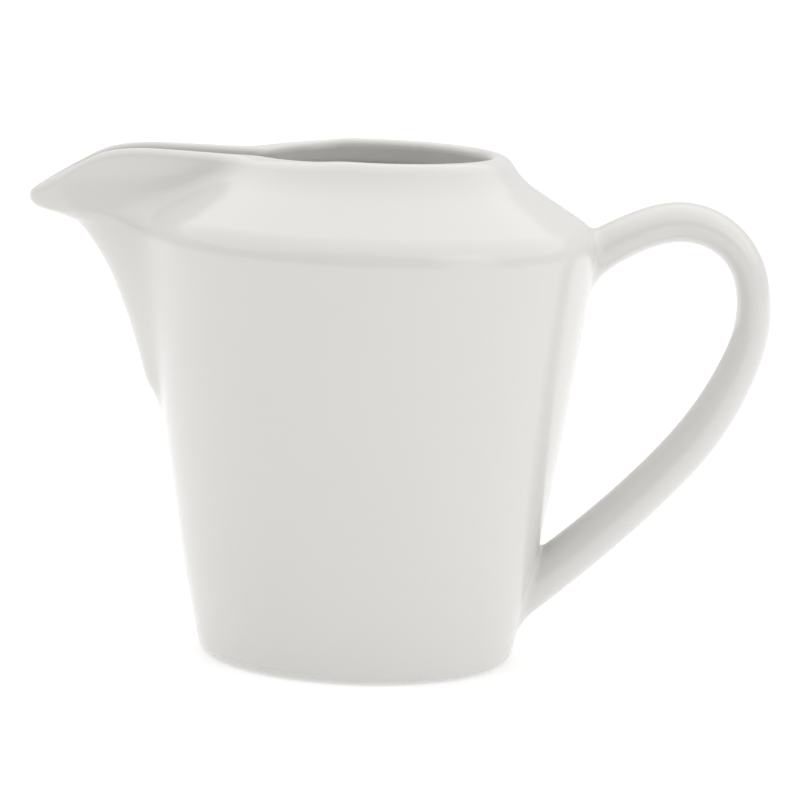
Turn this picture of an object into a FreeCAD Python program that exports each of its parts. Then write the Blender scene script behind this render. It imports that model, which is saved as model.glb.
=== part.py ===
"""Porcelain cream jug: a turned body, an open beak spout and a looped handle, luted together.

Frame: origin at the middle of the foot's resting plane, +Z up, spout towards -X, handle towards +X.
Lengths are in millimetres. Every piece is its own solid, and the pieces meet face to face.
"""
import FreeCAD, Part
import math
import os

V = FreeCAD.Vector

# ---- driving dimensions -------------------------------------------------------------------
WALL = 3.0              # wall of the turned body
FOOT_OUTER = 20.4       # where the bare foot ring ends and the glaze begins
FOOT_INNER = 17.0
FOOT_HEIGHT = 1.0       # height of the bare ring
GLAZE_Z = 0.25          # the glazed base starts just above the table
RECESS_Z = 2.4          # underside of the base inside the foot ring
BASE_RADIUS, BASE_Z = 24.45, 1.0
LOWER_RADIUS, LOWER_Z = 27.4, 14.3
UPPER_RADIUS, UPPER_Z = 31.0, 36.0
SHOULDER_RADIUS, SHOULDER_Z = 35.2, 67.2
NECK_RADIUS, NECK_Z = 20.8, 76.3
LIP_ROUND = 1.3         # rounding of the rolled lip, which stands straight up from the neck
MOUTH_RADIUS = 17.9     # clear opening inside the lip
THROAT_Z = 74.5         # where the mouth widens into the underside of the shoulder
RIM_Z = 78.8            # top of the lip

SLIP = 1.3              # thickness of the slip worked into each corner between two pieces


# ---- turned outlines ----------------------------------------------------------------------
def rounded(corners):
    """Edges of an outline of straight runs, with an arc at each corner.

    Each corner is (radius from the axis, height, rounding); the two ends are left sharp.
    """
    edges = []
    start = V(corners[0][0], 0, corners[0][1])
    for before, corner, after in zip(corners, corners[1:], corners[2:]):
        tip = V(corner[0], 0, corner[1])
        if corner[2] == 0:
            edges.append(Part.LineSegment(start, tip).toShape())
            start = tip
            continue
        back = (V(before[0], 0, before[1]) - tip).normalize()
        ahead = (V(after[0], 0, after[1]) - tip).normalize()
        half = back.getAngle(ahead) / 2
        reach = corner[2] / math.tan(half)
        crown = (back + ahead).normalize() * (corner[2] / math.sin(half) - corner[2])
        enter = tip + back * reach
        leave = tip + ahead * reach
        edges.append(Part.LineSegment(start, enter).toShape())
        edges.append(Part.Arc(enter, tip + crown, leave).toShape())
        start = leave
    end = V(corners[-1][0], 0, corners[-1][1])
    edges.append(Part.LineSegment(start, end).toShape())
    return edges


def turned(corners):
    """Solid of revolution about Z of a closed outline; its first and last corner are the same."""
    face = Part.Face(Part.Wire(rounded(corners)))
    return Part.Solid(face.revolve(V(0, 0, 0), V(0, 0, 1), 360))


def eased(rows, at):
    """Values at one place of a table whose first column is the place.

    The curve goes through every row and never overshoots between two of them.
    """
    spans = [b[0] - a[0] for a, b in zip(rows, rows[1:])]
    span = next((n for n, row in enumerate(rows[1:]) if at <= row[0]), len(spans) - 1)
    part = (at - rows[span][0]) / spans[span]
    values = []
    for column in range(1, len(rows[0])):
        slopes = [(b[column] - a[column]) / (b[0] - a[0]) for a, b in zip(rows, rows[1:])]
        pairs = list(zip(slopes, slopes[1:]))
        inner = [2 * p * q / (p + q) if p * q > 0 else 0 for p, q in pairs]
        ends = [slopes[0]] + inner + [slopes[-1]]
        start = rows[span][column]
        rise = rows[span + 1][column] - start
        leave = ends[span] * spans[span]
        arrive = ends[span + 1] * spans[span]
        bend = (3 * rise - 2 * leave - arrive) * part ** 2 + (leave + arrive - 2 * rise) * part ** 3
        values.append(start + leave * part + bend)
    return values


OUTSIDE = [
    (BASE_RADIUS, BASE_Z, 2.8),
    (LOWER_RADIUS, LOWER_Z, 150),
    (UPPER_RADIUS, UPPER_Z, 400),
    (SHOULDER_RADIUS, SHOULDER_Z, 2.6),
    (NECK_RADIUS, NECK_Z, 1.8),
    (NECK_RADIUS, RIM_Z, LIP_ROUND),
]


def outside_block():
    """Everything inside the body's outer surface, with the mouth filled to the rim."""
    ends = [(0, RIM_Z, 0), (0, GLAZE_Z, 0)]
    return turned([(0, GLAZE_Z, 0), (FOOT_OUTER, GLAZE_Z, 0)] + OUTSIDE + ends)


def inside_block():
    """The space inside the body, from its floor up through the mouth and past the rim."""
    return turned([
        (0, RECESS_Z + WALL, 0),
        (BASE_RADIUS - WALL / 2, RECESS_Z + WALL, 7),
        (UPPER_RADIUS - WALL, UPPER_Z, 150),
        (SHOULDER_RADIUS - WALL - 0.5, SHOULDER_Z - 1.6, 2.0),
        (MOUTH_RADIUS, THROAT_Z, 2.0),
        (MOUTH_RADIUS, RIM_Z + 5, 0),
        (0, RIM_Z + 5, 0),
        (0, RECESS_Z + WALL, 0),
    ])


def foot_hollow():
    """The recess under the base and the seat of the bare foot ring."""
    return turned([
        (0, -1, 0),
        (FOOT_OUTER, -1, 0),
        (FOOT_OUTER, FOOT_HEIGHT, 0),
        (FOOT_INNER, FOOT_HEIGHT, 0),
        (FOOT_INNER - 1.0, RECESS_Z, 1.0),
        (0, RECESS_Z, 0),
        (0, -1, 0),
    ])


def foot_ring():
    """Bare ring that the jug stands on, wiped clean of glaze, with its edges rounded."""
    return turned([
        (FOOT_INNER, FOOT_HEIGHT, 0),
        (FOOT_INNER, 0, 0.5),
        (FOOT_OUTER, 0, 0.2),
        (FOOT_OUTER, FOOT_HEIGHT, 0),
        (FOOT_INNER, FOOT_HEIGHT, 0),
    ])


# ---- spout --------------------------------------------------------------------------------
# Level slices of the beak: (height, radius of the wall there, half width of the beak at the wall,
# reach of its keel from the axis, nose radius of the slice).
BEAK = [
    (37.6, 31.2, 2.0, 31.8, 2.6),
    (39.5, 31.5, 3.6, 32.7, 4.2),
    (41.8, 31.8, 4.8, 34.0, 4.2),
    (47.0, 32.5, 6.4, 35.6, 5.0),
    (53.0, 33.3, 8.0, 37.7, 5.2),
    (58.5, 34.0, 9.2, 40.1, 4.8),
    (63.0, 34.6, 9.8, 42.9, 4.0),
    (66.0, 35.0, 10.0, 45.7, 3.0),
    (67.6, 34.3, 9.8, 49.3, 1.8),
    (69.4, 31.6, 9.5, 52.4, 1.1),
    (72.0, 27.4, 9.0, 53.4, 1.0),
    (76.0, 21.8, 8.6, 53.7, 0.9),
    (80.0, 20.9, 8.6, 53.8, 0.9),
]
# The same slices of the channel inside it.
CHANNEL = [
    (43.0, 28.8, 3.6, 31.2, 2.4),
    (47.0, 29.4, 4.6, 32.6, 2.6),
    (53.0, 30.2, 6.2, 34.7, 2.9),
    (58.5, 31.0, 7.2, 37.0, 2.8),
    (63.0, 31.4, 7.6, 39.4, 2.2),
    (66.5, 31.0, 7.6, 42.0, 1.6),
    (68.6, 29.5, 7.2, 45.2, 1.0),
    (70.4, 27.5, 6.8, 49.4, 0.6),
    (73.0, 23.5, 6.3, 51.2, 0.5),
    (76.0, 20.0, 6.0, 51.6, 0.5),
    (82.0, 18.5, 6.0, 51.8, 0.5),
]
# Side view of the spout's rim, from the beak's tip back to the lip of the mouth: (x, z).
RIM_LINE = [(-55.0, 68.2), (-52.2, 70.6), (-48.3, 73.4), (-45.3, 75.4), (-42.3, 76.9), (-39.0, 77.8),
            (-34.0, 78.2), (-28.0, 78.4), (-22.0, 78.5), (-10.0, 78.5)]
SLICE_BACK = 15.0       # the slices run back to this far from the axis, inside the body
SLICE_STEPS = 8         # spans on each half of a slice
SLICES = 26             # slices from the foot of a beak to its top


def slice_wire(z, wall, half, reach, nose):
    """One level slice: half its width squared grows as a conic of the distance behind the nose."""
    behind = reach - math.sqrt(wall ** 2 - half ** 2)
    bend = (half ** 2 - 2 * nose * behind) / behind ** 2
    depth = reach - SLICE_BACK
    points = []
    for step in range(-SLICE_STEPS, SLICE_STEPS + 1):
        back = depth * (step / SLICE_STEPS) ** 2
        width = math.sqrt(2 * nose * back + bend * back ** 2)
        points.append(V(back - reach, math.copysign(width, step), z))
    curve = Part.BSplineCurve()
    curve.interpolate(points)
    return Part.Wire([curve.toShape(), Part.LineSegment(points[-1], points[0]).toShape()])


def lofted(rows):
    """Solid through a stack of level slices."""
    low = rows[0][0]
    high = rows[-1][0]
    heights = [low + (high - low) * step / SLICES for step in range(SLICES + 1)]
    return Part.makeLoft([slice_wire(z, *eased(rows, z)) for z in heights], True, False, False, 3)


def above_rim():
    """Everything above the spout's sloping rim, ahead of the mouth."""
    curve = Part.BSplineCurve()
    curve.interpolate([V(x, -30, z) for x, z in RIM_LINE])
    first = curve.StartPoint
    last = curve.EndPoint
    lid = [first, V(first.x, -30, RIM_Z + 20), V(last.x, -30, RIM_Z + 20), last]
    sides = [Part.LineSegment(a, b).toShape() for a, b in zip(lid, lid[1:])]
    return Part.Face(Part.Wire([curve.toShape()] + sides)).extrude(V(0, 60, 0))


# ---- handle -------------------------------------------------------------------------------
# Centre line of the handle in its own plane: (x, z, thickness in that plane, width across Y).
HANDLE = [
    (31.0, 61.9, 7.6, 10.6),
    (35.3, 65.0, 7.0, 10.2),
    (41.0, 68.1, 6.3, 9.8),
    (47.3, 69.6, 6.2, 9.6),
    (53.3, 68.2, 5.8, 9.5),
    (57.5, 64.1, 5.3, 9.4),
    (59.2, 58.9, 5.2, 9.4),
    (59.0, 52.8, 5.4, 9.4),
    (57.0, 46.6, 5.7, 9.4),
    (52.5, 38.2, 6.2, 9.5),
    (44.8, 28.6, 6.6, 9.6),
    (35.1, 19.1, 7.0, 10.0),
    (25.0, 10.4, 7.4, 10.6),
]
HANDLE_SECTIONS = 40
OVAL_POINTS = 16
HANDLE_CURVE = Part.BSplineCurve()
HANDLE_CURVE.interpolate([V(x, 0, z) for x, z, thick, width in HANDLE])
HANDLE_ROWS = [(HANDLE_CURVE.parameter(V(x, 0, z)), thick, width) for x, z, thick, width in HANDLE]


def oval(centre, wide, tall, upward):
    """Closed ellipse of the given width along Y and the given height."""
    points = []
    for step in range(OVAL_POINTS):
        turn = 2 * math.pi * step / OVAL_POINTS
        side = V(0, math.cos(turn) * wide / 2, 0)
        points.append(centre + side + upward * (math.sin(turn) * tall / 2))
    curve = Part.BSplineCurve()
    curve.interpolate(Points=points, PeriodicFlag=True)
    return Part.Wire(curve.toShape())


def handle_loop(skin):
    """The strap as it runs right through to inside the wall, with a skin of slip all round it."""
    sections = []
    for step in range(HANDLE_SECTIONS + 1):
        place = HANDLE_CURVE.LastParameter * step / HANDLE_SECTIONS
        thick, width = eased(HANDLE_ROWS, place)
        across = HANDLE_CURVE.tangent(place)[0].cross(V(0, 1, 0))
        sections.append(oval(HANDLE_CURVE.value(place), width + 2 * skin, thick + 2 * skin, across))
    return Part.makeLoft(sections, True, False, False, 3)


# ---- slip ---------------------------------------------------------------------------------
def slip_skin():
    """The body's outside with a skin of slip over its wall, shoulder and neck."""
    return turned([
        (0, BASE_Z, 0),
        (BASE_RADIUS + SLIP, BASE_Z, 0),
        (LOWER_RADIUS + SLIP, LOWER_Z, 150),
        (UPPER_RADIUS + SLIP, UPPER_Z, 400),
        (SHOULDER_RADIUS + SLIP, SHOULDER_Z + SLIP / 2, 3.5),
        (NECK_RADIUS + SLIP, NECK_Z + SLIP / 2, 0.5),
        (NECK_RADIUS + SLIP, RIM_Z - LIP_ROUND, 0),
        (0, RIM_Z - LIP_ROUND, 0),
        (0, BASE_Z, 0),
    ])


def grown_beak():
    """The beak with a skin of slip all round it, from just under its foot."""
    rows = [(z, wall, half + SLIP, reach + SLIP, nose) for z, wall, half, reach, nose in BEAK]
    foot_z, wall, half, reach, nose = BEAK[0]
    return lofted([(foot_z - SLIP, wall, half, reach, nose)] + rows[1:])


def save(name, shape):
    """Write one piece, which has to be one valid closed solid."""
    if len(shape.Solids) != 1 or not shape.isValid() or not shape.Solids[0].isClosed():
        raise ValueError(name + " is not one valid closed solid")
    shape.Solids[0].exportStep("parts/%s.step" % name)


def main():
    os.makedirs("parts", exist_ok=True)
    block = outside_block()
    beak = lofted(BEAK)
    channel = lofted(CHANNEL)
    loop = handle_loop(0)
    skin = slip_skin()
    rings = skin.common(handle_loop(SLIP)).cut(block).cut(loop).Solids
    rings.sort(key=lambda ring: ring.Volume)
    lower_ring, upper_ring = sorted(rings[-2:], key=lambda ring: ring.CenterOfMass.z)
    save("jug_body", block.cut(inside_block()).cut(foot_hollow()).cut(channel))
    save("foot_ring", foot_ring())
    save("pouring_spout", beak.cut(above_rim()).cut(channel).cut(block))
    save("spout_slip_seam", skin.common(grown_beak()).cut(block).cut(beak))
    save("handle", loop.cut(block))
    save("handle_upper_slip_joint", upper_ring)
    save("handle_lower_slip_joint", lower_ring)


main()
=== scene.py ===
"""Porcelain cream jug: the glazed surfaces, the slip joints, the bare foot and a plain studio.

The tables are in millimetres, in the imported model's frame: origin at the middle of the resting
plane, +Z up, spout towards -X, handle towards +X. Meshes are made in metres.
"""

import math

import bpy
import numpy as np
from bpy.props import FloatProperty, FloatVectorProperty, IntProperty, PointerProperty
from mathutils import Matrix, Vector


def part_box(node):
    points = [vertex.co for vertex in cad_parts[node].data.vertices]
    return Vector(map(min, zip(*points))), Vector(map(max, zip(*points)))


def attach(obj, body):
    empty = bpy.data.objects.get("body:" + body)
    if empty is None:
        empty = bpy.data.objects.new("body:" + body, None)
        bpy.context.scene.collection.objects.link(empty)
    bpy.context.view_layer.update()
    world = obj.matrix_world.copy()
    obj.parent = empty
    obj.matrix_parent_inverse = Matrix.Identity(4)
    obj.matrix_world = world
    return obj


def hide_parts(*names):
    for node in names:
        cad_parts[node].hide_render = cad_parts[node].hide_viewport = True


bl_info = {
    "name": "Porcelain Cream Jug",
    "version": (1, 0, 0),
    "blender": (4, 5, 0),
    "location": "3D View > Sidebar > Cream Jug",
    "description": "Glazed porcelain cream jug with an open beak spout and a looped strap handle",
    "category": "Add Mesh",
}

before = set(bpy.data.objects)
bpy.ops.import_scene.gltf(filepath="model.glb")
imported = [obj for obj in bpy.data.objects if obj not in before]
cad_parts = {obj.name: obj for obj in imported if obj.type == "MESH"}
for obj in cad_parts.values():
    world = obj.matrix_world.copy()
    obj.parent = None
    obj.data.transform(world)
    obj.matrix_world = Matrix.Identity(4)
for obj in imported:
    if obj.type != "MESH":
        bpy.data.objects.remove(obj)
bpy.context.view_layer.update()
MM = 0.001

# ---- shapes read from the frame ----
RIM_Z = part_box("jug_body")[1].z / MM  # top of the rolled lip
FOOT_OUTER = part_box("foot_ring")[1].x / MM  # outside of the bare ring
FOOT_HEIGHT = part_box("foot_ring")[1].z / MM  # height of the bare ring

# ---- turned outlines: corners as (radius, height, rounding) ----
FOOT_INNER = FOOT_OUTER - 3.4
RECESS_Z = 2.4
GLAZE_Z = 0.25
WALL = 3.0
NECK_RADIUS = 19.5
MOUTH_RADIUS = 17.9
OUTSIDE = [
    (FOOT_OUTER, GLAZE_Z, 0),
    (24.3, 0.5, 1.5),
    (27.4, 14.3, 150),
    (31.0, 36.0, 400),
    (35.3, 67.25, 5.0),
    (NECK_RADIUS, 77.1, 12.0),
    (NECK_RADIUS, RIM_Z + 8, 0),
]
INSIDE = [
    (0, RECESS_Z + WALL, 0),
    (22.95, RECESS_Z + WALL, 7),
    (28.0, 36.0, 150),
    (31.7, 65.6, 2.0),
    (MOUTH_RADIUS, 74.5, 2.0),
    (MOUTH_RADIUS, RIM_Z + 3, 0),
]
RECESS = [
    (0, RECESS_Z, 0),
    (FOOT_INNER - 1.0, RECESS_Z, 1.0),
    (FOOT_INNER, FOOT_HEIGHT, 0),
]
SEAT = [(FOOT_INNER, FOOT_HEIGHT, 0), (FOOT_OUTER, FOOT_HEIGHT, 0)]
EDGE = [(FOOT_OUTER, FOOT_HEIGHT, 0), (FOOT_OUTER, GLAZE_Z, 0)]

# ---- spout: level slices as (height, wall radius, half width at the wall, reach, nose radius) ----
BEAK = [
    (37.6, 31.2, 2.0, 31.8, 2.6),
    (39.5, 31.5, 3.6, 32.7, 4.2),
    (41.8, 31.8, 4.8, 34.0, 4.2),
    (47.0, 32.5, 6.4, 35.6, 5.0),
    (53.0, 33.3, 8.0, 37.7, 5.2),
    (58.5, 34.0, 9.0, 40.1, 4.8),
    (63.0, 34.6, 9.4, 42.9, 4.0),
    (66.0, 35.0, 9.2, 45.6, 3.0),
    (67.2, 34.6, 8.8, 49.0, 2.0),
    (68.0, 33.8, 8.4, 51.7, 1.5),
    (69.0, 32.2, 8.0, 52.7, 1.3),
    (70.5, 29.8, 7.7, 53.2, 1.2),
    (72.0, 27.4, 7.6, 53.5, 1.1),
    (76.0, 22.4, 8.2, 53.7, 1.0),
    (80.0, 20.2, 8.4, 53.8, 1.0),
]
CHANNEL = [
    (43.0, 28.8, 3.6, 31.2, 2.4),
    (47.0, 29.4, 4.6, 32.6, 2.6),
    (53.0, 30.2, 6.2, 34.7, 2.9),
    (58.5, 31.0, 7.2, 37.0, 2.8),
    (63.0, 31.4, 7.2, 39.4, 2.2),
    (66.5, 31.0, 6.8, 42.0, 1.6),
    (68.6, 29.5, 6.1, 45.2, 1.0),
    (70.4, 27.5, 5.7, 49.4, 0.6),
    (73.0, 23.5, 5.6, 51.2, 0.5),
    (76.0, 20.0, 5.8, 51.6, 0.5),
    (82.0, 18.5, 6.0, 51.8, 0.5),
]
# Side view of the rim's crest: (distance ahead of the axis, height).
CREST = [
    (-60.0, RIM_Z),
    (4.0, RIM_Z),
    (10.0, RIM_Z - 0.4),
    (20.0, RIM_Z - 0.7),
    (28.0, RIM_Z - 0.6),
    (34.0, RIM_Z - 0.55),
    (39.0, RIM_Z - 0.9),
    (42.3, RIM_Z - 1.7),
    (45.3, RIM_Z - 3.1),
    (48.3, RIM_Z - 5.3),
    (52.2, RIM_Z - 8.3),
    (55.0, RIM_Z - 10.6),
]

# How wide the crease between spout and wall is: (height, share of the full width).
CREASE = [(33.0, 0.18), (40.0, 0.25), (46.0, 0.5), (54.0, 0.8), (62.0, 1.0), (69.0, 1.0), (80.0, 0.9)]

# ---- the shell's net: stations up the wall as (height, rows since the last) ----
NET_START = 33.0  # the wall is plainly turned below this height
NET_FREE = 63.0  # above this the rows spread to meet the rim
OUTER_ROWS = [(33.0, 0), (37.0, 8), (38.8, 5), (44.0, 10), (63.0, 14), (66.0, 6), (69.0, 14),
              (75.2, 12), (77.4, 14)]
INNER_ROWS = [(33.0, 0), (37.0, 8), (38.8, 5), (44.0, 10), (63.0, 14), (67.0, 14), (73.5, 12),
              (77.4, 20)]
SEAM_ROW = 8  # row where the slip under the spout's foot begins
SPOUT_ROW = 13  # row where the spout itself begins
BEAD_ROWS = 12
SPOUT_COLUMNS = 40
SEAM_COLUMNS = 8
BODY_COLUMNS = 96

# ---- handle: centre line as (x, z, thickness, width across) ----
HANDLE = [
    (31.0, 61.5, 6.9, 10.6),
    (35.3, 64.6, 6.4, 10.2),
    (41.0, 67.9, 6.2, 9.8),
    (47.3, 69.6, 6.2, 9.6),
    (53.3, 68.2, 5.8, 9.5),
    (57.5, 64.1, 5.3, 9.4),
    (59.2, 58.9, 5.3, 9.4),
    (59.1, 52.8, 5.6, 9.4),
    (57.2, 46.6, 6.1, 9.4),
    (52.8, 38.2, 6.7, 9.5),
    (44.9, 28.5, 6.9, 9.6),
    (35.2, 19.0, 7.1, 10.0),
    (25.1, 10.3, 7.4, 10.6),
]
ROOT_DEPTH = 1.5  # how far the strap's ends are sunk into the wall
ROOT_BLEND = 12.0  # length over which the strap's sections lean to lie along the wall


# ---- settings a user would change ----
class JugShellSettings(bpy.types.PropertyGroup):
    """The wall, the spout and the slip between them."""
    crease: FloatProperty(
        name="Crease", description="Width over which the spout flows into the wall",
        default=0.0058, min=0.001, max=0.015, unit="LENGTH")
    slip_width: FloatProperty(
        name="Slip width", description="Half width of the worked slip seam",
        default=0.0014, min=0.0005, max=0.003, unit="LENGTH")
    lip_rise: FloatProperty(
        name="Lip rise", description="Height of the rounded crest of the lip",
        default=0.0014, min=0.0005, max=0.003, unit="LENGTH")


class JugHandleSettings(bpy.types.PropertyGroup):
    """The strap handle and its two slip joints."""
    thickness: FloatProperty(
        name="Thickness", description="Thickness of the strap, as a share",
        default=1.0, min=0.5, max=1.5, subtype="FACTOR")
    width: FloatProperty(
        name="Width", description="Width of the strap, as a share",
        default=1.0, min=0.5, max=1.5, subtype="FACTOR")
    around: IntProperty(
        name="Points around", description="Points around the strap",
        default=48, min=12, max=96)
    upper_flare: FloatProperty(
        name="Upper flare", description="Spread of the slip under the top root",
        default=0.0032, min=0.001, max=0.006, unit="LENGTH")
    lower_flare: FloatProperty(
        name="Lower flare", description="Spread of the slip at the lower root",
        default=0.0024, min=0.001, max=0.006, unit="LENGTH")


class JugFootSettings(bpy.types.PropertyGroup):
    """The bare ring that the jug stands on."""
    rounding: FloatProperty(
        name="Rounding", description="Rounding of the ring's worn edges",
        default=0.0004, min=0.0001, max=0.0008, unit="LENGTH")
    segments: IntProperty(
        name="Segments", description="Segments round the ring",
        default=180, min=32, max=360)


class JugGlazeSettings(bpy.types.PropertyGroup):
    """Colours and finish of the glaze and of the bare porcelain."""
    glaze: FloatVectorProperty(
        name="Glaze", description="Colour of the fired glaze",
        subtype="COLOR", size=3, default=(0.67, 0.662, 0.644), min=0, max=1)
    pooled: FloatVectorProperty(
        name="Pooled glaze", description="Colour where the glaze lies thick",
        subtype="COLOR", size=3, default=(0.635, 0.629, 0.615), min=0, max=1)
    bare: FloatVectorProperty(
        name="Bare porcelain", description="Colour of the unglazed foot",
        subtype="COLOR", size=3, default=(0.74, 0.71, 0.66), min=0, max=1)
    roughness: FloatProperty(
        name="Roughness", description="Roughness of the glaze",
        default=0.18, min=0.02, max=0.6, subtype="FACTOR")


class JugStageSettings(bpy.types.PropertyGroup):
    """Floor, lights and camera."""
    floor: FloatVectorProperty(
        name="Floor", description="Colour of the floor",
        subtype="COLOR", size=3, default=(0.72, 0.72, 0.72), min=0, max=1)
    low: FloatProperty(
        name="Low light", description="Strength of the room's light at eye level",
        default=0.33, min=0, max=3)
    high: FloatProperty(
        name="High light", description="Strength of the room's light overhead",
        default=0.78, min=0, max=3)
    top: FloatProperty(
        name="Top light", description="Power of the soft box overhead",
        default=31.0, min=0, max=60, unit="POWER")
    side: FloatProperty(
        name="Side light", description="Power of the soft box at the handle's side",
        default=1.5, min=0, max=60, unit="POWER")


# ---- outlines ----
def outline(corners, pitch, turn):
    """Points of an outline of straight runs with an arc at each corner, as rows of (radius, height).

    A run is divided at most pitch apart, and an arc every turn radians.
    """
    corners = [np.array(corner, float) for corner in corners]
    points = [corners[0][:2]]
    for before, corner, after in zip(corners, corners[1:], corners[2:]):
        tip = corner[:2]
        back = (before[:2] - tip) / np.linalg.norm(before[:2] - tip)
        ahead = (after[:2] - tip) / np.linalg.norm(after[:2] - tip)
        half = math.acos(np.clip(back @ ahead, -1, 1)) / 2
        enter = tip + back * corner[2] / math.tan(half)
        centre = tip + (back + ahead) / np.linalg.norm(back + ahead) * corner[2] / math.sin(half)
        points += divided(points[-1], enter, pitch)
        if corner[2] == 0:
            continue
        swing = math.pi - 2 * half
        steps = max(2, math.ceil(swing / turn), math.ceil(swing * corner[2] / pitch))
        side = math.copysign(1, back[0] * ahead[1] - back[1] * ahead[0])
        arm = enter - centre
        for step in range(1, steps + 1):
            angle = -side * swing * step / steps
            c, s = math.cos(angle), math.sin(angle)
            points.append(centre + np.array([c * arm[0] - s * arm[1], s * arm[0] + c * arm[1]]))
    points += divided(points[-1], corners[-1][:2], pitch)
    return np.array(points)


def divided(start, end, pitch):
    """Points along a straight run, without its start."""
    steps = max(1, math.ceil(np.linalg.norm(end - start) / pitch))
    return [start + (end - start) * step / steps for step in range(1, steps + 1)]


def eased(rows, at):
    """Columns of a table at given places, smoothly through every row and with no overshoot."""
    rows = np.array(rows, float)
    place, values = rows[:, 0], rows[:, 1:]
    gaps = np.diff(place)[:, None]
    slopes = np.diff(values, axis=0) / gaps
    same = slopes[:-1] * slopes[1:] > 0
    total = np.where(same, slopes[:-1] + slopes[1:], 1)
    inner = np.where(same, 2 * slopes[:-1] * slopes[1:] / total, 0)
    ends = np.vstack([slopes[:1], inner, slopes[-1:]])
    at = np.clip(at, place[0], place[-1])
    span = np.clip(np.searchsorted(place, at) - 1, 0, len(gaps) - 1)
    part = ((at - place[span]) / gaps[span, 0])[..., None]
    rise = values[span + 1] - values[span]
    leave, arrive = ends[span] * gaps[span], ends[span + 1] * gaps[span]
    curve = (3 * rise - 2 * leave - arrive) * part ** 2 + (leave + arrive - 2 * rise) * part ** 3
    result = values[span] + leave * part + curve
    return [result[..., column] for column in range(result.shape[-1])]


# ---- skins: a turned wall and a beak that flow into each other ----
class Skin:
    """One surface of the shell, given by a turned outline, a table of slices and a crease width."""
    REACH_DROP = 1.0  # how fast the beak's foot runs into the wall below its first slice
    BACK_LIMIT = 6.0  # behind the wall the slices stop widening
    STEP = 0.02  # height between the two slices that give the beak's climb
    GUARD = 0.01  # keeps the division safe where a slice has no slope
    SEAM_LIMIT = 0.6  # largest share of the spout's half width that the slip takes
    SEARCH = (1.0, 64.0)  # radii between which a skin is looked for
    HALVINGS = 36

    def __init__(self, corners, slices, crease):
        points = outline(corners, pitch=0.02, turn=0.002)
        keep = np.append(True, np.diff(points[:, 1]) > 1e-9)
        self.z, self.r = points[keep, 1], points[keep, 0]
        self.slope = np.gradient(self.r, self.z)
        self.slices = slices
        self.crease = crease

    def wall(self, z):
        """Radius of the plain turned wall."""
        return np.interp(z, self.z, self.r)

    def terms(self, z):
        """What a level slice of the beak needs: reach, nose, bend and how far back it widens."""
        wall, half, reach, nose = eased(self.slices, z)
        behind = reach - np.sqrt(wall ** 2 - half ** 2)
        bend = (half ** 2 - 2 * nose * behind) / behind ** 2
        reach = reach - self.REACH_DROP * np.maximum(self.slices[0][0] - z, 0)
        return reach, nose, bend, behind + self.BACK_LIMIT

    def level(self, z):
        """What the skin is at each height: wall radius, its lean, two near slices, the crease."""
        lean = 1 / np.sqrt(1 + np.interp(z, self.z, self.slope) ** 2)
        crease = eased(CREASE, z)[0] * self.crease
        return self.wall(z), lean, self.terms(z), self.terms(z + self.STEP), crease

    @staticmethod
    def excess(terms, ahead, side):
        """Squared distance from the beak's middle plane, less the slice's squared half width."""
        reach, nose, bend, limit = terms
        back = np.minimum(reach - ahead, limit)
        return side ** 2 - 2 * nose * back - bend * np.maximum(back, 0) ** 2

    def distance(self, r, angle, level):
        """Rough distance outside the skin, and how far it lies in the flow of the crease."""
        radius, lean, terms, above, crease = level
        reach, nose, bend, limit = terms
        ahead, side = r * np.cos(angle), r * np.sin(angle)
        wall = (r - radius) * lean
        excess = self.excess(terms, ahead, side)
        climb = (self.excess(above, ahead, side) - excess) / self.STEP
        back = np.clip(reach - ahead, 0, limit)
        run = np.where(reach - ahead < limit, 2 * nose + 2 * bend * back, 0)
        beak = excess / np.sqrt(4 * side ** 2 + run ** 2 + climb ** 2 + self.GUARD)
        beak = np.where(ahead > 0, beak, 2 * crease)
        flow = np.maximum(1 - np.abs(wall - beak) / crease, 0)
        return np.minimum(wall, beak) - flow ** 3 * crease / 6, flow

    def radius(self, angle, z):
        """Distance of the skin from the axis at each angle and height, found by halving."""
        angle, z = np.broadcast_arrays(angle, z)
        level = self.level(z)
        low, high = (np.full(z.shape, limit) for limit in self.SEARCH)
        for _ in range(self.HALVINGS):
            middle = (low + high) / 2
            inside = self.distance(middle, angle, level)[0] < 0
            low, high = np.where(inside, middle, low), np.where(inside, high, middle)
        return low

    def angles(self, z, slip):
        """Angles of the seam's two edges in the level slice at a height."""
        wall, half = eased(self.slices, z)[:2]
        middle = np.arcsin(half / wall)
        spread = np.minimum(slip / wall, middle * self.SEAM_LIMIT)
        return middle - spread, middle + spread


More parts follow.
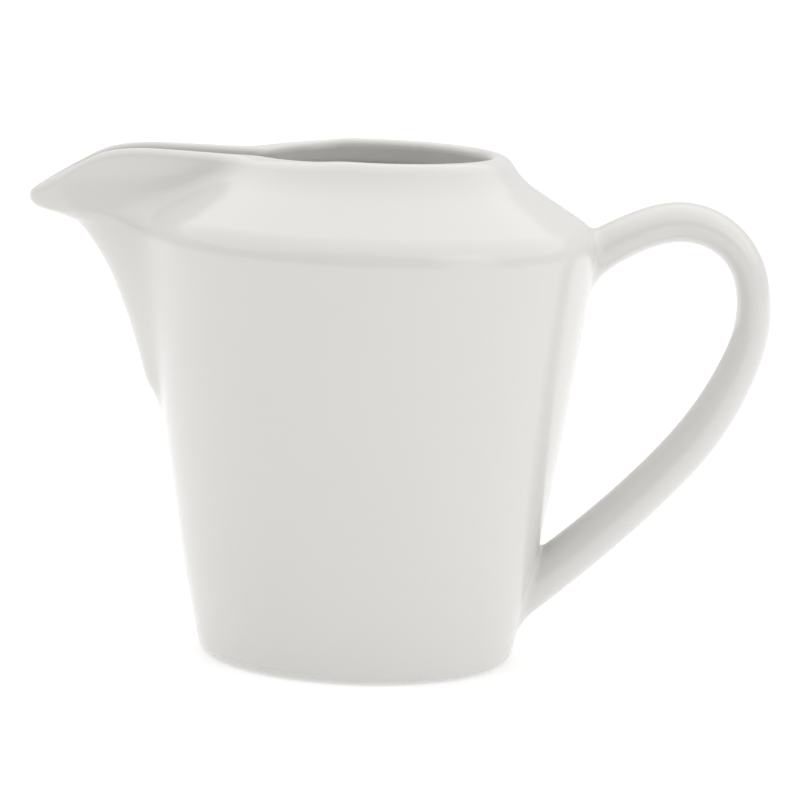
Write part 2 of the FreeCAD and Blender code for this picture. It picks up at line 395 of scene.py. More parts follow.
class Net:
    """Columns of a skin from the spout's keel round to the handle, evenly spread along each slice."""
    NOSE_SPREAD = 1.5  # above 1, columns gather at the spout's keel
    BODY_SPREAD = 1.25  # above 1, columns gather beside the slip
    PITCH = 0.5  # height between the slices of the table
    SAMPLES = 300  # points along each part of a slice before it is divided
    LOWEST_RIM = 64.0  # where the search for the rim starts
    HALVINGS = 30

    def __init__(self, skin, slip):
        self.skin = skin
        self.heights = np.arange(NET_START, RIM_Z + 1.0, self.PITCH)
        self.table = []
        for z in self.heights:
            near, far = skin.angles(z, slip)
            row = [np.zeros(1)]
            for start, end, count, power in ((0, near, SPOUT_COLUMNS, self.NOSE_SPREAD),
                                             (near, far, SEAM_COLUMNS, 1),
                                             (far, math.pi, BODY_COLUMNS, self.BODY_SPREAD)):
                fine = start + (end - start) * np.linspace(0, 1, self.SAMPLES) ** power
                r = skin.radius(fine, z)
                lengths = np.hypot(np.diff(r * np.cos(fine)), np.diff(r * np.sin(fine)))
                run = np.append(0, np.cumsum(lengths))
                shares = np.linspace(0, 1, count + 1)[1:] ** power
                row.append(np.interp(shares * run[-1], run, fine))
            self.table.append(np.concatenate(row))
        self.table = np.array(self.table)

    def angle(self, z):
        """Angle of each column at its own height; z has the columns last."""
        place = np.clip((z - self.heights[0]) / self.PITCH, 0, len(self.heights) - 1.001)
        low = place.astype(int)
        part = place - low
        column = np.broadcast_to(np.arange(self.table.shape[1]), z.shape)
        return self.table[low, column] * (1 - part) + self.table[low + 1, column] * part

    def top(self, rise):
        """Height at which each column reaches the rim, a lip's rise under the crest."""
        low = np.full(self.table.shape[1], self.LOWEST_RIM)
        high = np.full(self.table.shape[1], RIM_Z)
        for _ in range(self.HALVINGS):
            z = (low + high) / 2
            angle = self.angle(z)
            under = z < eased(CREST, self.skin.radius(angle, z) * np.cos(angle))[0] - rise
            low, high = np.where(under, z, low), np.where(under, high, z)
        return low

    def grid(self, stations, rise):
        """Points and crease flow of every row and column, with the rows first."""
        plain = np.concatenate([[stations[0][0]]] + [
            np.linspace(a[0], b[0], b[1] + 1)[1:] for a, b in zip(stations, stations[1:])])
        stretch = (self.top(rise) - NET_FREE) / (plain[-1] - NET_FREE)
        free = np.maximum(plain - NET_FREE, 0)
        z = np.minimum(plain, NET_FREE)[:, None] + free[:, None] * stretch
        angle = self.angle(z)
        r = self.skin.radius(angle, z)
        points = np.stack([-r * np.cos(angle), r * np.sin(angle), z], -1)
        return points, self.skin.distance(r, angle, self.skin.level(z))[1]


# ---- meshes ----
def unit(vectors):
    """Vectors scaled to length one."""
    return vectors / np.maximum(np.linalg.norm(vectors, axis=-1, keepdims=True), 1e-12)


def placed(name, data):
    """A new object in the scene, for a mesh, a light or a camera."""
    made = bpy.data.objects.new(name, data)
    bpy.context.scene.collection.objects.link(made)
    return made


def make_object(name, points, faces, normals=None, pooling=None):
    """A smooth mesh object in metres from points in millimetres.

    normals holds one vector for each corner of each face, and pooling one number for each point.
    """
    mesh = bpy.data.meshes.new(name)
    mesh.from_pydata([tuple(p) for p in np.asarray(points) * MM], [], faces)
    mesh.shade_smooth()
    if pooling is not None:
        layer = mesh.attributes.new("pooling", "FLOAT", "POINT")
        layer.data.foreach_set("value", np.asarray(pooling, np.float32))
    if normals is not None:
        mesh.normals_split_custom_set([tuple(n) for n in normals])
    mesh.update()
    return placed(name, mesh)


def finish_piece(piece, material, slot, *nodes):
    """Gives a finished piece its material and its body, and hides the CAD nodes it stands for; slot is not
    used.
    """
    piece.data.materials.clear()
    piece.data.materials.append(material)
    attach(piece, "root")
    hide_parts(*nodes)


# ---- shell ----
class Shell:
    """The whole wall as one net of rows and columns, divided into through-thickness pieces."""
    PIECES = {"body": 0, "seam": 1, "spout": 2}
    INNER_CREASE = 0.7  # width of the inner crease, as a share of the outer one
    TURNED_TOP = NET_START - 0.5
    TURNED_STEP = 0.16  # turn between rows where the outline is rounded

    def __init__(self, settings):
        slip, rise = settings.slip_width / MM, settings.lip_rise / MM
        crease = settings.crease / MM
        outer_skin = Skin(OUTSIDE, BEAK, crease)
        inner_skin = Skin(INSIDE, CHANNEL, crease * self.INNER_CREASE)
        outer, outer_flow = Net(outer_skin, slip).grid(OUTER_ROWS, rise)
        inner, inner_flow = Net(inner_skin, slip).grid(INNER_ROWS, rise)
        bead = self.bead(outer, inner, rise)
        side = np.concatenate([outer, bead, inner[::-1]])
        flow = np.concatenate([outer_flow, np.zeros(bead.shape[:2]), inner_flow[::-1]])
        net = np.concatenate([side, side[:, -2:0:-1] * (1, -1, 1)], 1)
        flow = np.concatenate([flow, flow[:, -2:0:-1]], 1)
        turn = np.arctan2(net[0, :, 1], -net[0, :, 0])
        under = [outline(corners, pitch=1.6, turn=0.3) for corners in (RECESS, SEAT, EDGE)]
        outside = outline(OUTSIDE, pitch=1.8, turn=self.TURNED_STEP)
        under.append(outside[outside[:, 1] < self.TURNED_TOP])
        below = [self.turned(part, turn) for part in under]
        inside = outline(INSIDE, pitch=2.0, turn=self.TURNED_STEP)
        above = self.turned(inside[inside[:, 1] < self.TURNED_TOP][::-1], turn)
        bands = [index for index, part in enumerate(below) for _ in part[1:]]
        rows = [part[:-1] for part in below[:3]] + [below[3]]
        self.points = np.concatenate(rows + [net, above])
        start = sum(len(part) for part in rows)
        self.flow = np.zeros(self.points.shape[:2])
        self.flow[start:start + len(net)] = flow
        self.bands = np.array(bands + [3] * (len(self.points) - 1 - len(bands)))
        self.start = start
        self.mirror = 2 * start + len(net) - 1
        self.middle = self.mirror // 2

    @staticmethod
    def bead(outer, inner, rise):
        """Rows of the rolled lip, leaving both skins without a kink."""
        leave = unit(outer[-1] - outer[-2]) * rise * 4 / 3
        arrive = unit(inner[-1] - inner[-2]) * rise * 4 / 3
        t = (np.arange(1, BEAD_ROWS) / BEAD_ROWS)[:, None, None]
        return ((1 - t) ** 3 * outer[-1] + 3 * t * (1 - t) ** 2 * (outer[-1] + leave)
                + 3 * t ** 2 * (1 - t) * (inner[-1] + arrive) + t ** 3 * inner[-1])

    @staticmethod
    def turned(points, turn):
        """Rows of a turned surface at the net's own column angles."""
        r, z = points[:, 0][:, None], points[:, 1][:, None]
        return np.stack([-r * np.cos(turn), r * np.sin(turn), z + 0 * turn], -1)

    def owners(self):
        """The piece that each cell of the net belongs to."""
        rows, columns = len(self.points) - 1, self.points.shape[1]
        owner = np.zeros((rows, columns), int)
        near = np.minimum(np.arange(columns), columns - 1 - np.arange(columns))
        for row in range(self.start, self.middle):
            mine = np.zeros(columns, int)
            if row >= self.start + SEAM_ROW:
                mine[near < SPOUT_COLUMNS + SEAM_COLUMNS] = self.PIECES["seam"]
            if row >= self.start + SPOUT_ROW:
                mine[near < SPOUT_COLUMNS] = self.PIECES["spout"]
            owner[row] = owner[self.mirror - 1 - row] = mine
        return owner

    def normals(self):
        """Normal of each net point for each band of rows, so that a band's edge stays sharp."""
        p = self.points
        ahead = np.roll(p, -1, 1)
        face = np.cross(p[1:] - ahead[:-1], ahead[1:] - p[:-1])
        result = []
        for band in range(self.bands.max() + 1):
            mine = face * (self.bands == band)[:, None, None]
            total = np.zeros_like(p)
            for shifted in (mine, np.roll(mine, 1, 1)):
                total[:-1] += shifted
                total[1:] += shifted
            for pole in (0, -1):
                total[pole] = total[pole].sum(0)
            result.append(unit(total))
        return np.array(result)

    def faces(self, piece):
        """Faces and corner normals of one piece: its cells, and the cut walls round them."""
        number = self.PIECES[piece]
        owner, normal = self.owners(), self.normals()
        rows, columns = self.points.shape[:2]
        ids = np.arange(rows * columns).reshape(rows, columns)
        ids[0], ids[-1] = ids[0, 0], ids[-1, 0]
        faces, corner_normals = [], []
        for m, j in zip(*np.nonzero(owner == number)):
            k = (j + 1) % columns
            spots = [(m, j), (m + 1, j), (m + 1, k), (m, k)]
            self.add(faces, corner_normals, [ids[s] for s in spots],
                     [normal[self.bands[m]][s] for s in spots])
        for m in range(self.start, self.middle):
            for j in range(columns):
                mine = owner[m, j]
                for other, row, column, facing in ((owner[m, j - 1], m + 1, j, mine),
                                                   (owner[m - 1, j], m, (j + 1) % columns, owner[m - 1, j])):
                    if other != mine and number in (other, mine):
                        spots = [(m, j), (row, column), (self.mirror - row, column), (self.mirror - m, j)]
                        self.wall(faces, corner_normals, ids, spots, number == facing)
        return faces, corner_normals

    def wall(self, faces, corner_normals, ids, spots, back):
        """Adds one flat piece of a cut through the thickness."""
        if back:
            spots = spots[::-1]
        a, b, c, d = [self.points[s] for s in spots]
        flat = unit(np.cross(c - a, d - b))
        self.add(faces, corner_normals, [ids[s] for s in spots], [flat] * 4)

    @staticmethod
    def add(faces, corner_normals, corners, normals):
        """Adds a face without its repeated corners."""
        kept = [n for n, corner in enumerate(corners) if corner not in corners[:n]]
        faces.append([int(corners[n]) for n in kept])
        corner_normals += [normals[n] for n in kept]

    def make(self, name, piece):
        """The mesh object of one piece."""
        faces, corner_normals = self.faces(piece)
        used = sorted({corner for face in faces for corner in face})
        place = {corner: n for n, corner in enumerate(used)}
        faces = [[place[corner] for corner in face] for face in faces]
        points = self.points.reshape(-1, 3)[used]
        flow = self.flow.reshape(-1)[used]
        return make_object(name, points, faces, corner_normals, flow)


# ---- nodes ----
class Wire:
    """A node's output that arithmetic can be done on; each operator adds a Math node."""

    def __init__(self, nodes, socket):
        self.nodes = nodes
        self.socket = socket

    def math(self, operation, first, second):
        """The result of one Math node."""
        return self.nodes.node("ShaderNodeMath", {"operation": operation}, {0: first, 1: second})

    def __add__(self, other):
        return self.math("ADD", self, other)

    def __radd__(self, other):
        return self.math("ADD", other, self)

    def __sub__(self, other):
        return self.math("SUBTRACT", self, other)

    def __rsub__(self, other):
        return self.math("SUBTRACT", other, self)

    def __mul__(self, other):
        return self.math("MULTIPLY", self, other)

    def __rmul__(self, other):
        return self.math("MULTIPLY", other, self)


class Nodes:
    """A tree of nodes, built node by node."""

    def __init__(self, tree):
        self.tree = tree

    def node(self, kind, settings=None, sockets=None, output=0):
        """A node of any type: its settings first, then the values or links of its sockets."""
        node = self.tree.nodes.new(kind)
        for key, value in (settings or {}).items():
            setattr(node, key, value)
        for key, value in (sockets or {}).items():
            if isinstance(key, str):
                key = next(n for n, s in enumerate(node.inputs) if s.enabled and s.name == key)
            if isinstance(value, Wire):
                self.tree.links.new(value.socket, node.inputs[key])
            else:
                node.inputs[key].default_value = value
        return Wire(self, node.outputs[output]) if len(node.outputs) else node


class Group(Nodes):
    """A Geometry Nodes group with named inputs."""

    def __init__(self, name, inputs):
        super().__init__(bpy.data.node_groups.new(name, "GeometryNodeTree"))
        self.tree.is_modifier = True
        for key, kind in inputs.items():
            self.tree.interface.new_socket(name=key, in_out="INPUT", socket_type="NodeSocket" + kind)
        self.tree.interface.new_socket(name="Geometry", in_out="OUTPUT", socket_type="NodeSocketGeometry")

    def input(self, name):
        """One of the group's inputs."""
        return self.node("NodeGroupInput", output=name)

    def stored(self, geometry, name, value):
        """Geometry with a vector stored on its points under a name."""
        settings = {"data_type": "FLOAT_VECTOR", "domain": "POINT"}
        return self.node("GeometryNodeStoreNamedAttribute", settings,
                         {"Geometry": geometry, "Name": name, "Value": value})

    def read(self, name, kind="FLOAT_VECTOR"):
        """The value of a named attribute."""
        return self.node("GeometryNodeInputNamedAttribute", {"data_type": kind}, {"Name": name})

    def total(self, first, second):
        """The sum of two vectors."""
        return self.node("ShaderNodeVectorMath", {"operation": "ADD"}, {0: first, 1: second})

    def circle(self, points, radius):
        """A circle as a curve."""
        return self.node("GeometryNodeCurvePrimitiveCircle", {"mode": "RADIUS"},
                         {"Resolution": points, "Radius": radius})

    def finished(self, geometry):
        """The tree, ended: instances made real, then the material."""
        real = self.node("GeometryNodeRealizeInstances", {}, {"Geometry": geometry})
        material = self.input("Material")
        done = self.node("GeometryNodeSetMaterial", {}, {"Geometry": real, "Material": material})
        self.node("NodeGroupOutput", {}, {"Geometry": done})
        return self.tree


class Shader(Nodes):
    """The nodes of a material or of the world."""

    def __init__(self, owner):
        owner.use_nodes = True
        super().__init__(owner.node_tree)
        self.tree.nodes.clear()
        self.owner = owner

    def noise(self, scale, detail, roughness=0.5):
        """Noise in object space, with features about 1 / scale metres across."""
        place = self.node("ShaderNodeTexCoord", output="Object")
        return self.node("ShaderNodeTexNoise", {"noise_dimensions": "3D"},
                         {"Vector": place, "Scale": scale, "Detail": detail, "Roughness": roughness})

    def blend(self, factor, first, second):
        """A colour between two colours."""
        return self.node("ShaderNodeMix", {"data_type": "RGBA"}, {0: factor, 6: first, 7: second}, 2)

    def step(self, value, low, high):
        """0 below low and 1 above high, smoothly."""
        return self.node("ShaderNodeMapRange", {"interpolation_type": "SMOOTHSTEP"},
                         {"Value": value, "From Min": low, "From Max": high})

    def bump(self, height):
        """A normal bent by a height in metres."""
        return self.node("ShaderNodeBump", {}, {"Strength": 1.0, "Distance": 1.0, "Height": height})

    def surface(self, sockets):
        """The material, ended with a Principled surface."""
        shade = self.node("ShaderNodeBsdfPrincipled", {}, sockets)
        self.node("ShaderNodeOutputMaterial", {}, {"Surface": shade})
        return self.owner


# ---- handle ----
def smooth_through(rows, count):
    """A curve with even curvature through rows of numbers, by its chord lengths, and its slopes."""
    rows = np.array(rows, float)
    place = np.append(0, np.cumsum(np.hypot(*np.diff(rows[:, :2], axis=0).T)))
    gaps = np.diff(place)
    size = len(rows)
    matrix = np.eye(size)
    target = np.zeros_like(rows)
    for n in range(1, size - 1):
        matrix[n, n - 1:n + 2] = gaps[n - 1], 2 * (gaps[n - 1] + gaps[n]), gaps[n]
        target[n] = 6 * ((rows[n + 1] - rows[n]) / gaps[n] - (rows[n] - rows[n - 1]) / gaps[n - 1])
    bends = np.linalg.solve(matrix, target)
    at = np.linspace(0, place[-1], count)
    span = np.clip(np.searchsorted(place, at) - 1, 0, size - 2)
    gap = gaps[span][:, None]
    on = (at - place[span])[:, None] / gap
    off = 1 - on
    values = (off * rows[span] + on * rows[span + 1]
              + ((off ** 3 - off) * bends[span] + (on ** 3 - on) * bends[span + 1]) * gap ** 2 / 6)
    return at, values


class Strap:
    """The handle's centre line with its thickness and width, from wall to wall."""
    SAMPLES = 700
    PATH_STEP = 6  # samples between the points of the path

    def __init__(self, settings):
        self.skin = Skin(OUTSIDE, BEAK, 1.0)
        at, rows = smooth_through(HANDLE, self.SAMPLES)
        sunk = rows[:, 0] - (self.skin.wall(rows[:, 1]) - ROOT_DEPTH)
        free = np.nonzero(sunk > 0)[0]
        at, rows = at[free[0]:free[-1] + 1], rows[free[0]:free[-1] + 1]
        self.at = at - at[0]
        self.centre = np.stack([rows[:, 0], 0 * rows[:, 0], rows[:, 1]], -1)
        self.along = unit(np.gradient(self.centre, self.at, axis=0))
        self.thick = rows[:, 2] / 2 * settings.thickness
        self.wide = rows[:, 3] / 2 * settings.width
        outward = np.cross(self.along, (0, 1, 0))
        lean = self.lean(outward)
        self.across = (outward + self.along * lean[:, None]) * self.thick[:, None]

    def lean(self, outward):
        """How far each section leans along the strap, so that the end sections lie in the wall."""
        lean = np.zeros(len(self.at))
        for end, run in ((0, self.at), (-1, self.at[-1] - self.at)):
            z = self.centre[end, 2]
            slope = (self.skin.wall(z + 1) - self.skin.wall(z - 1)) / 2
            wall = unit(np.array([slope, 0, 1.0]))
            full = (wall @ self.along[end]) / (wall @ outward[end])
            part = np.clip(run / ROOT_BLEND, 0, 1)
            lean += full * (1 - part * part * (3 - 2 * part))
        return lean

    def line(self, turn):
        """The strap's surface along its length at one angle round it."""
        side = np.array([0, 1, 0]) * self.wide[:, None] * math.cos(turn)
        return self.centre + side + self.across * math.sin(turn)

    def path_object(self):
        """The centre line as a string of edges that carries the strap's width and thickness."""
        keep = np.unique(np.append(np.arange(0, len(self.at), self.PATH_STEP), len(self.at) - 1))
        mesh = bpy.data.meshes.new("strap_path")
        edges = [(n, n + 1) for n in range(len(keep) - 1)]
        mesh.from_pydata([tuple(p) for p in self.centre[keep] * MM], edges, [])
        mesh.attributes.new("half_width", "FLOAT", "POINT").data.foreach_set(
            "value", (self.wide[keep] * MM).astype(np.float32))
        mesh.attributes.new("across", "FLOAT_VECTOR", "POINT").data.foreach_set(
            "vector", (self.across[keep] * MM).astype(np.float32).ravel())
        return placed("strap_path", mesh)


def strap_tree():
    """Geometry Nodes: an oval section carried along a path that holds its width and thickness."""
    g = Group("Strap along a path", {"Path": "Geometry", "Points around": "Int", "Material": "Material"})
    place = g.node("GeometryNodeInputPosition")
    path = g.stored(g.input("Path"), "middle", place)
    section = g.stored(g.circle(g.input("Points around"), 1.0), "section", place)
    curve = g.node("GeometryNodeMeshToCurve", {}, {"Mesh": path})
    tube = g.node("GeometryNodeCurveToMesh", {},
                  {"Curve": curve, "Profile Curve": section, "Fill Caps": True})
    spot = {"Vector": g.read("section")}
    wide = g.node("ShaderNodeSeparateXYZ", {}, spot, "X") * g.read("half_width", "FLOAT")
    thick = g.node("ShaderNodeVectorMath", {"operation": "SCALE"},
                   {0: g.read("across"), "Scale": g.node("ShaderNodeSeparateXYZ", {}, spot, "Y")})
    side = g.node("ShaderNodeCombineXYZ", {}, {"Y": wide})
    place = g.total(g.total(g.read("middle"), side), thick)
    return g.finished(g.node("GeometryNodeSetPosition", {}, {"Geometry": tube, "Position": place}))


def ring_tree():
    """Geometry Nodes: a closed section carried round a circle."""
    g = Group("Section round a circle",
              {"Section": "Geometry", "Radius": "Float", "Segments": "Int", "Material": "Material"})
    section = g.node("GeometryNodeMeshToCurve", {}, {"Mesh": g.input("Section")})
    circle = g.circle(g.input("Segments"), g.input("Radius"))
    return g.finished(g.node("GeometryNodeCurveToMesh", {}, {"Curve": circle, "Profile Curve": section}))


def grown(source, name, tree, values):
    """The mesh that a Geometry Nodes group makes from an object, which is then removed."""
    modifier = source.modifiers.new(name, "NODES")
    modifier.node_group = tree
    sockets = {item.name: item.identifier for item in tree.interface.items_tree if item.in_out == "INPUT"}
    for key, value in values.items():
        modifier[sockets[key]] = value
    graph = bpy.context.evaluated_depsgraph_get()
    graph.update()
    mesh = bpy.data.meshes.new_from_object(source.evaluated_get(graph))
    source.modifiers.remove(modifier)
    bpy.data.objects.remove(source)
    mesh.name = name
    for attribute in ("middle", "section", "across", "half_width"):
        if attribute in mesh.attributes:
            mesh.attributes.remove(mesh.attributes[attribute])
    outward(mesh)
    mesh.shade_smooth()
    mesh.set_sharp_from_angle(angle=math.radians(50))
    return placed(name, mesh)


def outward(mesh):
    """Turns a closed mesh's faces outwards."""
    mesh.calc_loop_triangles()
    points = np.array([v.co for v in mesh.vertices])
    corners = np.array([t.vertices for t in mesh.loop_triangles])
    a, b, c = points[corners[:, 0]], points[corners[:, 1]], points[corners[:, 2]]
    if np.einsum("ij,ij->", a, np.cross(b, c)) < 0:
        mesh.flip_normals()


FLARE_AROUND = 72  # sections round the root
FLARE_STEPS = 10  # points along each section's hollow face
FLARE_SINK = 0.6  # how far the slip is sunk into the wall and the strap
FLARE_CLIMB = 1.15  # its spread along the strap, as a share of that on the wall
ROOT_SAMPLES = 200  # samples of the strap that its root can cover


def flare(name, strap, end, size, lift):
    """Ring of slip worked round the strap's root: hollow outside, sunk into both pieces inside.

    size is its spread on the under side and lift the part of that on the upper side.
    """
    rings = []
    for n in range(FLARE_AROUND):
        turn = 2 * math.pi * n / FLARE_AROUND
        line = strap.line(turn)
        if end:
            line = line[::-1]
        outside = np.hypot(line[:, 0], line[:, 1]) - strap.skin.wall(line[:, 2])
        first = int(np.nonzero(outside > 0)[0][0])
        share = outside[first] / (outside[first] - outside[first - 1])
        meet = line[first] + (line[first - 1] - line[first]) * share
        near = line[first:first + ROOT_SAMPLES]
        run = np.append(0, np.cumsum(np.linalg.norm(np.diff(near, axis=0), axis=1)))
        upper = math.sin(turn) if not end else -math.sin(turn)
        spread = size * (lift + (1 - lift) * (1 - upper) / 2)
        start = np.array([np.interp(spread * FLARE_CLIMB, run, near[:, axis]) for axis in range(3)])
        middle = strap.centre[-1 if end else 0]
        away = meet - middle
        radial = unit(np.array([meet[0], meet[1], 0]))
        slope = strap.skin.wall(meet[2] + 0.5) - strap.skin.wall(meet[2] - 0.5)
        normal = unit(radial - np.array([0, 0, slope]))
        away = unit(away - normal * (away @ normal))
        stop = meet + away * spread
        radius = strap.skin.wall(stop[2]) / np.hypot(stop[0], stop[1])
        stop = stop * (radius, radius, 1)
        t = np.linspace(0, 1, FLARE_STEPS)[:, None]
        curve = (1 - t) ** 2 * start + 2 * t * (1 - t) * meet + t ** 2 * stop
        inward = unit(strap.centre[np.argmin(np.linalg.norm(strap.centre - start, axis=1))] - start)
        sunk = [stop - normal * FLARE_SINK, meet + (inward - normal) * FLARE_SINK,
                start + inward * FLARE_SINK]
        rings.append(np.concatenate([curve, sunk]))
    points = np.array(rings)
    count = points.shape[1]
    faces = []
    for n in range(FLARE_AROUND):
        for k in range(count):
            m, j = (n + 1) % FLARE_AROUND, (k + 1) % count
            faces.append([n * count + k, m * count + k, m * count + j, n * count + j])
    hollow = np.sin(np.linspace(0, math.pi, FLARE_STEPS))
    pooling = np.tile(np.append(hollow, [0, 0, 0]), FLARE_AROUND)
    piece = make_object(name, points.reshape(-1, 3), faces, None, pooling)
    outward(piece.data)
    piece.data.set_sharp_from_angle(angle=math.radians(40))
    return piece


# ---- materials ----
def rgba(colour, share=1.0):
    """A colour with full alpha, darkened or lightened by a share."""
    return (*(part * share for part in colour), 1.0)


GLAZE_WAVE = 0.00006  # height of the glaze's slow waves, in metres
GLAZE_PEEL = 0.0000022  # height of its finest unevenness
GRAIN_HEIGHT = 0.000012  # height of the bare porcelain's grain
WORN_HEIGHT = 0.00001  # height of its patches that are less worn


def glaze_material(name, settings):
    """Clear glossy glaze over white porcelain, with the slight unevenness of hand dipping."""
    s = Shader(bpy.data.materials.new(name))
    cloud = s.step(s.noise(55.0, 3.0), 0.35, 0.68)
    fleck = s.step(s.noise(2600.0, 2.0), 0.74, 0.80)
    pooled = s.node("ShaderNodeAttribute", {"attribute_name": "pooling"}, {}, "Fac")
    ground = s.blend(cloud * 0.5, rgba(settings.glaze), rgba(settings.glaze, 0.985))
    thick = s.blend(pooled * 0.45, ground, rgba(settings.pooled))
    colour = s.blend(fleck * 0.10, thick, rgba(settings.bare))
    roughness = settings.roughness + (s.noise(260.0, 2.0) - 0.5) * 0.05
    height = s.noise(95.0, 1.0) * GLAZE_WAVE + s.noise(850.0, 2.0, 0.4) * GLAZE_PEEL
    return s.surface({"Base Color": colour, "Roughness": roughness, "Normal": s.bump(height), "IOR": 1.5,
                      "Coat Weight": 0.2, "Coat Roughness": 0.1, "Coat IOR": 1.5})


def bare_material(settings):
    """Unglazed porcelain, ground flat: matt, with a fine grain and worn patches."""
    s = Shader(bpy.data.materials.new("bare_porcelain_foot"))
    grain = s.noise(5200.0, 3.0, 0.6)
    worn = s.step(s.noise(420.0, 3.0), 0.42, 0.62)
    colour = s.blend(worn * 0.5 + grain * 0.25, rgba(settings.bare), rgba(settings.bare, 0.86))
    roughness = 0.72 + grain * 0.16 - worn * 0.10
    height = grain * GRAIN_HEIGHT + worn * WORN_HEIGHT
    return s.surface({"Base Color": colour, "Roughness": roughness, "Normal": s.bump(height), "IOR": 1.5})


def glaze(context, name):
    """The named glaze, made the first time it is asked for."""
    return bpy.data.materials.get(name) or glaze_material(name, context.scene.jug_glaze)


# ---- operators ----
class JUG_OT_shell(bpy.types.Operator):
    """Make the glazed wall, the spout and the slip seam between them"""
    bl_idname = "jug.shell"
    bl_label = "Body and spout"

    def execute(self, context):
        shell = Shell(context.scene.jug_shell)
        for name, piece, slot, node, finish in (
                ("body_wall", "body", "porcelain_body", "jug_body", "body_glaze"),
                ("spout", "spout", "porcelain_spout", "pouring_spout", "spout_glaze"),
                ("spout_seam", "seam", "porcelain_slip", "spout_slip_seam", "slip_glaze")):
            finish_piece(shell.make(name, piece), glaze(context, finish), slot, node)
        return {"FINISHED"}


class JUG_OT_handle(bpy.types.Operator):
    """Make the strap handle"""
    bl_idname = "jug.handle"
    bl_label = "Handle"

    def execute(self, context):
        settings = context.scene.jug_handle
        material = glaze(context, "handle_glaze")
        values = {"Points around": settings.around, "Material": material}
        piece = grown(Strap(settings).path_object(), "strap_handle", strap_tree(), values)
        finish_piece(piece, material, "porcelain_handle", "handle")
        return {"FINISHED"}


class JUG_OT_handle_joints(bpy.types.Operator):
    """Make the slip worked round both roots of the handle"""
    bl_idname = "jug.handle_joints"
    bl_label = "Handle joints"

    def execute(self, context):
        settings = context.scene.jug_handle
        strap = Strap(settings)
        for end, side, size, lift in ((0, "upper", settings.upper_flare, 0.35),
                                      (1, "lower", settings.lower_flare, 0.7)):
            piece = flare(f"{side}_root_slip", strap, end, size / MM, lift)
            finish_piece(piece, glaze(context, "slip_glaze"), "porcelain_slip", f"handle_{side}_slip_joint")
        return {"FINISHED"}


class JUG_OT_foot(bpy.types.Operator):
    """Make the bare foot ring"""
    bl_idname = "jug.foot"
    bl_label = "Foot ring"

    def execute(self, context):
        settings = context.scene.jug_foot
        rounding = settings.rounding / MM
        middle = (FOOT_INNER + FOOT_OUTER) / 2
        section = outline([
            (middle, FOOT_HEIGHT, 0),
            (FOOT_INNER, FOOT_HEIGHT, 0.05),
            (FOOT_INNER, 0, rounding),
            (FOOT_OUTER, 0, rounding / 2),
            (FOOT_OUTER, FOOT_HEIGHT, 0.05),
            (middle, FOOT_HEIGHT, 0),
        ], pitch=0.4, turn=0.2)[:-1]
        count = len(section)
        mesh = bpy.data.meshes.new("ring_section")
        edges = [(n, (n + 1) % count) for n in range(count)]
        mesh.from_pydata([((r - middle) * MM, -z * MM, 0) for r, z in section], edges, [])
        material = bare_material(context.scene.jug_glaze)
        values = {"Radius": middle * MM, "Segments": settings.segments, "Material": material}
        piece = grown(placed("ring_section", mesh), "bare_foot_ring", ring_tree(), values)
        finish_piece(piece, material, "bare_porcelain", "foot_ring")
        return {"FINISHED"}


FLOOR_RADIUS = 6000.0  # millimetres
FLOOR_SIDES = 96
FLOOR_GLOW = 0.38  # the floor's own even light, which keeps it white
BRIGHT_SIDE = (0.0, 0.6, 0.8)  # where most of the room's light comes from
# Each soft box: its name, where it is, what it faces, its two sizes and its power's setting.
SOFT_BOXES = (
    ("top_softbox", (0.0, 0.1, 1.1), (0.0, 0.1, 0.0), (6.0, 2.7), "top"),
    ("side_softbox", (0.9, -0.7, 0.45), (0.0, 0.0, 0.04), (0.6, 0.9), "side"),
)
CAMERA_AIM = (5.4, 0, 40.1)  # millimetres
CAMERA_DISTANCE = 0.65  # metres
CAMERA_RISE = math.radians(9.0)
CAMERA_ROLL = math.radians(2.4)
LENS, SENSOR = 188.7, 36.0


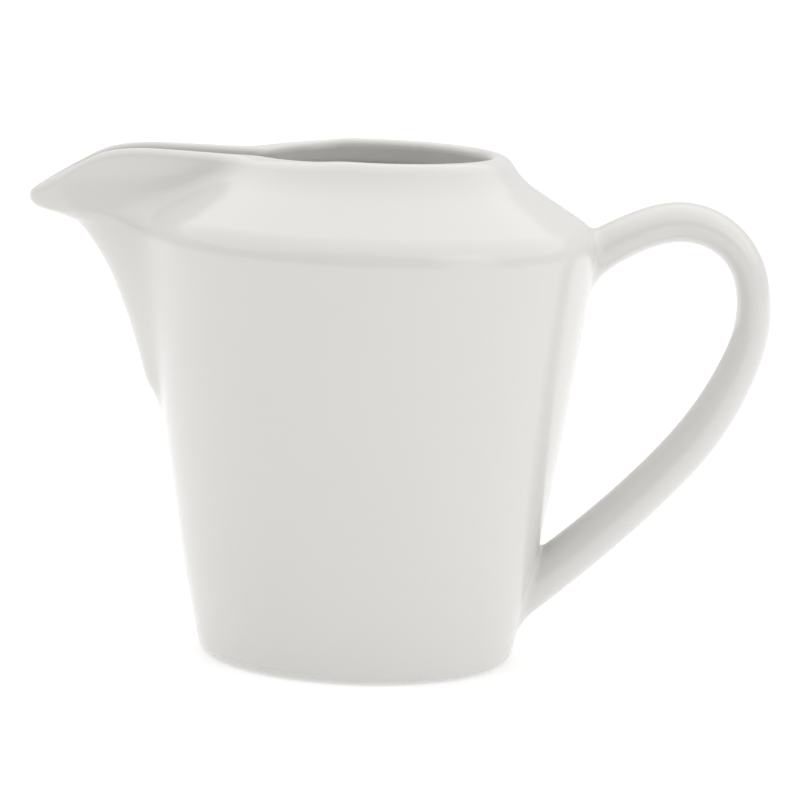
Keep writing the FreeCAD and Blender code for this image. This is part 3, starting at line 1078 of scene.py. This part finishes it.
class JUG_OT_stage(bpy.types.Operator):
    """Set out the pale floor, the soft lights and the camera"""
    bl_idname = "jug.stage"
    bl_label = "Floor, lights and camera"

    def execute(self, context):
        settings = context.scene.jug_stage
        self.floor(settings)
        self.room(context, settings)
        self.lights(settings)
        self.camera(context)
        context.scene.view_settings.view_transform = "Standard"
        return {"FINISHED"}

    def floor(self, settings):
        """A wide plain floor that the jug stands on."""
        turn = np.linspace(0, 2 * math.pi, FLOOR_SIDES, endpoint=False)
        points = np.stack([FLOOR_RADIUS * np.cos(turn), FLOOR_RADIUS * np.sin(turn), 0 * turn], -1)
        floor = make_object("floor", points, [list(range(FLOOR_SIDES))])
        s = Shader(bpy.data.materials.new("floor_paper"))
        colour = s.blend(s.noise(900.0, 3.0) * 0.3, rgba(settings.floor), rgba(settings.floor, 0.985))
        floor.data.materials.append(s.surface({"Base Color": colour, "Roughness": 0.9,
                                              "Emission Color": (1.0, 1.0, 1.0, 1.0),
                                              "Emission Strength": FLOOR_GLOW}))

    def room(self, context, settings):
        """Soft light from all round, brighter overhead and behind."""
        world = bpy.data.worlds.new("soft_room")
        s = Shader(world)
        direction = s.node("ShaderNodeTexCoord", output="Generated")
        behind = s.node("ShaderNodeVectorMath", {"operation": "DOT_PRODUCT"},
                        {0: direction, 1: BRIGHT_SIDE}, "Value")
        strength = settings.low + s.step(behind, -0.5, 0.6) * (settings.high - settings.low)
        light = s.node("ShaderNodeBackground", {}, {"Color": (1.0, 0.99, 0.98, 1.0), "Strength": strength})
        s.node("ShaderNodeOutputWorld", {}, {"Surface": light})
        context.scene.world = world

    def lights(self, settings):
        """Rectangular soft boxes overhead and at the handle's side."""
        for name, place, target, size, power in SOFT_BOXES:
            light = bpy.data.lights.new(name, "AREA")
            light.shape = "RECTANGLE"
            light.size, light.size_y = size
            light.energy = getattr(settings, power)
            lamp = placed(name, light)
            lamp.location = place
            aim = Vector(target) - Vector(place)
            lamp.rotation_euler = aim.to_track_quat("-Z", "Y").to_euler()

    def camera(self, context):
        """A long lens a little above the table, square to the jug's side and slightly rolled."""
        back = Vector((0, -math.cos(CAMERA_RISE), math.sin(CAMERA_RISE)))
        right = Vector((1, 0, 0))
        up = back.cross(right)
        across = right * math.cos(CAMERA_ROLL) + up * math.sin(CAMERA_ROLL)
        upright = up * math.cos(CAMERA_ROLL) - right * math.sin(CAMERA_ROLL)
        place = Vector(CAMERA_AIM) * MM + back * CAMERA_DISTANCE
        data = bpy.data.cameras.new("studio_camera")
        data.lens, data.sensor_width = LENS, SENSOR
        data.clip_start, data.clip_end = 0.05, 30.0
        camera = placed("studio_camera", data)
        turn = Matrix((across, upright, back)).transposed().to_4x4()
        camera.matrix_world = Matrix.Translation(place) @ turn
        context.scene.camera = camera


class JUG_PT_panel(bpy.types.Panel):
    """Lists the jug's pieces and their settings"""
    bl_idname = "JUG_PT_panel"
    bl_label = "Cream Jug"
    bl_space_type = "VIEW_3D"
    bl_region_type = "UI"
    bl_category = "Cream Jug"

    def draw(self, context):
        for operator in OPERATORS:
            self.layout.operator(operator.bl_idname)
        for name in SETTINGS:
            group = getattr(context.scene, name)
            box = self.layout.box()
            for field in group.bl_rna.properties:
                if field.identifier not in ("rna_type", "name"):
                    box.prop(group, field.identifier)


OPERATORS = (JUG_OT_shell, JUG_OT_handle, JUG_OT_handle_joints, JUG_OT_foot, JUG_OT_stage)
SETTINGS = {
    "jug_shell": JugShellSettings,
    "jug_handle": JugHandleSettings,
    "jug_foot": JugFootSettings,
    "jug_glaze": JugGlazeSettings,
    "jug_stage": JugStageSettings,
}
CLASSES = (*SETTINGS.values(), *OPERATORS, JUG_PT_panel)


def register():
    """Registers the classes and puts the settings on the scene."""
    for each in CLASSES:
        bpy.utils.register_class(each)
    for name, group in SETTINGS.items():
        setattr(bpy.types.Scene, name, PointerProperty(type=group))


def unregister():
    """Takes the settings and the classes away again."""
    for name in SETTINGS:
        delattr(bpy.types.Scene, name)
    for each in reversed(CLASSES):
        bpy.utils.unregister_class(each)


def main():
    """Makes every piece and the stage."""
    register()
    bpy.ops.jug.shell()
    bpy.ops.jug.handle()
    bpy.ops.jug.handle_joints()
    bpy.ops.jug.foot()
    bpy.ops.jug.stage()


if __name__ == "__main__":
    main()
